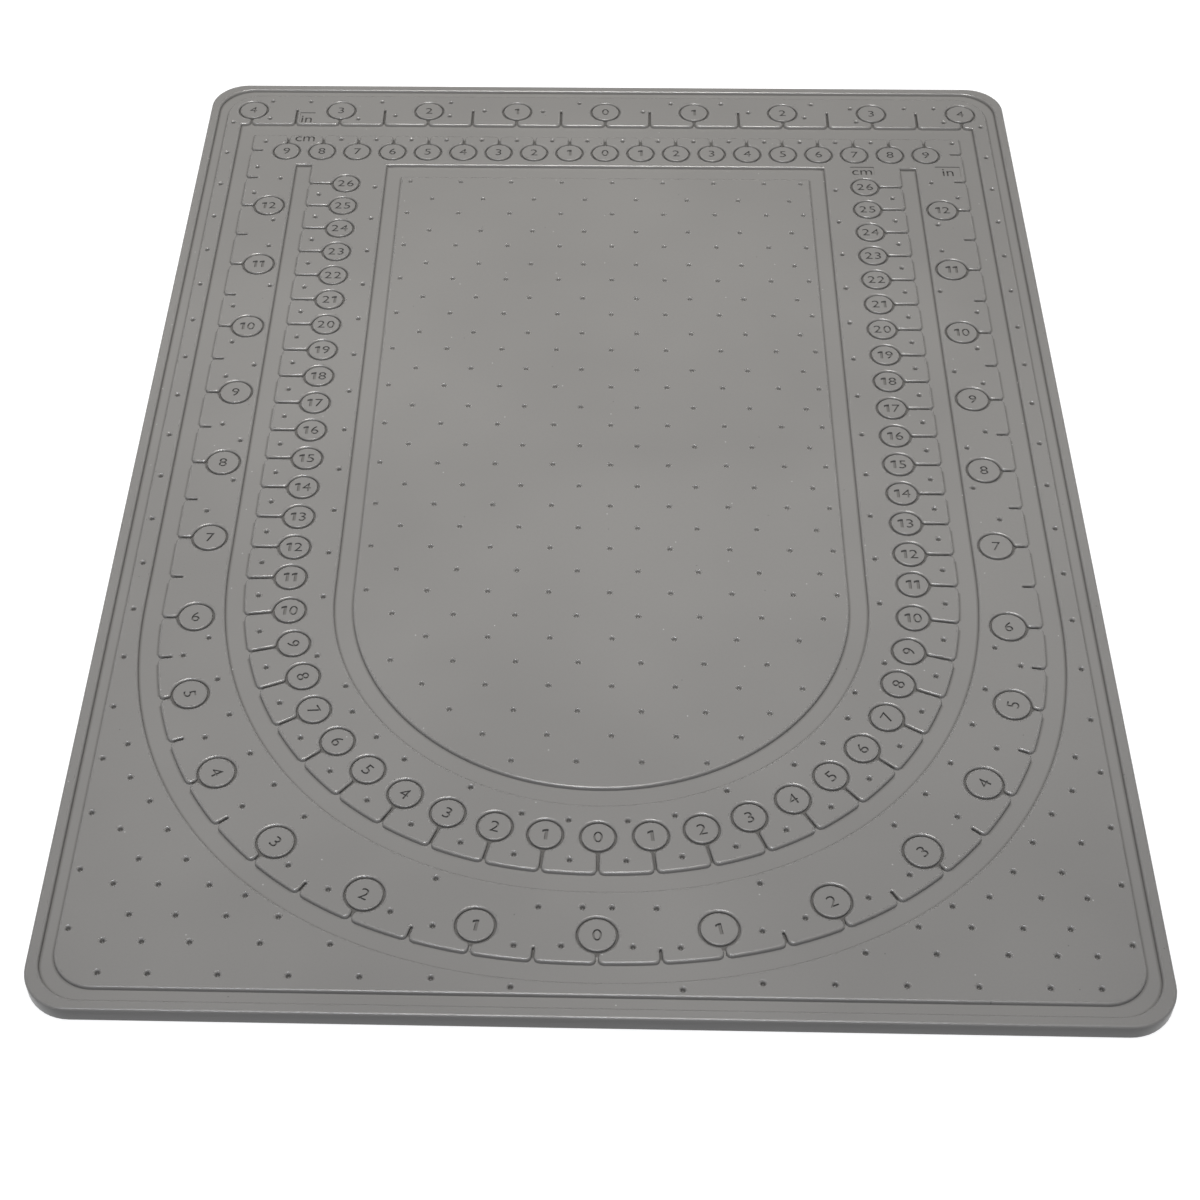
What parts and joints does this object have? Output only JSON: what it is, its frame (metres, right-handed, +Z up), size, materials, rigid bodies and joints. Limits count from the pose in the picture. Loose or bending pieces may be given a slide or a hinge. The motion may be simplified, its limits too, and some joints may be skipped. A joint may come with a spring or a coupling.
{
  "type": "bead mat",
  "caption": "Thin flexible rubber bead mat with a raised rim, nested U-shaped bead channels and engraved inch and centimetre scales; it lies flat and rolls up.",
  "frame": {"origin": "under the middle of the mat, on the surface that it rests on", "axes": "+Z up out of the scale side, +Y towards the far end with the straight scales, -Y towards the round end"},
  "size_m": [0.228, 0.313, 0.004],
  "materials": {
    "rubber": "satin moulded grey rubber"
  },
  "bodies": {
    "panel_middle": {"panel_middle": "rubber"},
    "panel_far_1": {"panel_far_1": "rubber"},
    "panel_far_2": {"panel_far_2": "rubber"},
    "panel_far_3": {"panel_far_3": "rubber"},
    "panel_far_4": {"panel_far_4": "rubber"},
    "panel_far_5": {"panel_far_5": "rubber"},
    "panel_near_1": {"panel_near_1": "rubber"},
    "panel_near_2": {"panel_near_2": "rubber"},
    "panel_near_3": {"panel_near_3": "rubber"},
    "panel_near_4": {"panel_near_4": "rubber"},
    "panel_near_5": {"panel_near_5": "rubber"}
  },
  "joints": [
    {"name": "flex_far_1", "type": "hinge", "parent": "panel_middle", "child": "panel_far_1", "pos_m": [0, 0.0155, 0.004], "axis": [1, 0, 0], "range_deg": [0, 33], "stiffness_Nm_per_rad": 0.08},
    {"name": "flex_far_2", "type": "hinge", "parent": "panel_far_1", "child": "panel_far_2", "pos_m": [0, 0.0465, 0.004], "axis": [1, 0, 0], "range_deg": [0, 33], "stiffness_Nm_per_rad": 0.08},
    {"name": "flex_far_3", "type": "hinge", "parent": "panel_far_2", "child": "panel_far_3", "pos_m": [0, 0.0775, 0.004], "axis": [1, 0, 0], "range_deg": [0, 33], "stiffness_Nm_per_rad": 0.08},
    {"name": "flex_far_4", "type": "hinge", "parent": "panel_far_3", "child": "panel_far_4", "pos_m": [0, 0.1085, 0.004], "axis": [1, 0, 0], "range_deg": [0, 33], "stiffness_Nm_per_rad": 0.08},
    {"name": "flex_far_5", "type": "hinge", "parent": "panel_far_4", "child": "panel_far_5", "pos_m": [0, 0.1395, 0.004], "axis": [1, 0, 0], "range_deg": [0, 33], "stiffness_Nm_per_rad": 0.08},
    {"name": "flex_near_1", "type": "hinge", "parent": "panel_middle", "child": "panel_near_1", "pos_m": [0, -0.0155, 0.004], "axis": [-1, 0, 0], "range_deg": [0, 33], "stiffness_Nm_per_rad": 0.08},
    {"name": "flex_near_2", "type": "hinge", "parent": "panel_near_1", "child": "panel_near_2", "pos_m": [0, -0.0465, 0.004], "axis": [-1, 0, 0], "range_deg": [0, 33], "stiffness_Nm_per_rad": 0.08},
    {"name": "flex_near_3", "type": "hinge", "parent": "panel_near_2", "child": "panel_near_3", "pos_m": [0, -0.0775, 0.004], "axis": [-1, 0, 0], "range_deg": [0, 33], "stiffness_Nm_per_rad": 0.08},
    {"name": "flex_near_4", "type": "hinge", "parent": "panel_near_3", "child": "panel_near_4", "pos_m": [0, -0.1085, 0.004], "axis": [-1, 0, 0], "range_deg": [0, 33], "stiffness_Nm_per_rad": 0.08},
    {"name": "flex_near_5", "type": "hinge", "parent": "panel_near_4", "child": "panel_near_5", "pos_m": [0, -0.1395, 0.004], "axis": [-1, 0, 0], "range_deg": [0, 33], "stiffness_Nm_per_rad": 0.08}
  ]
}
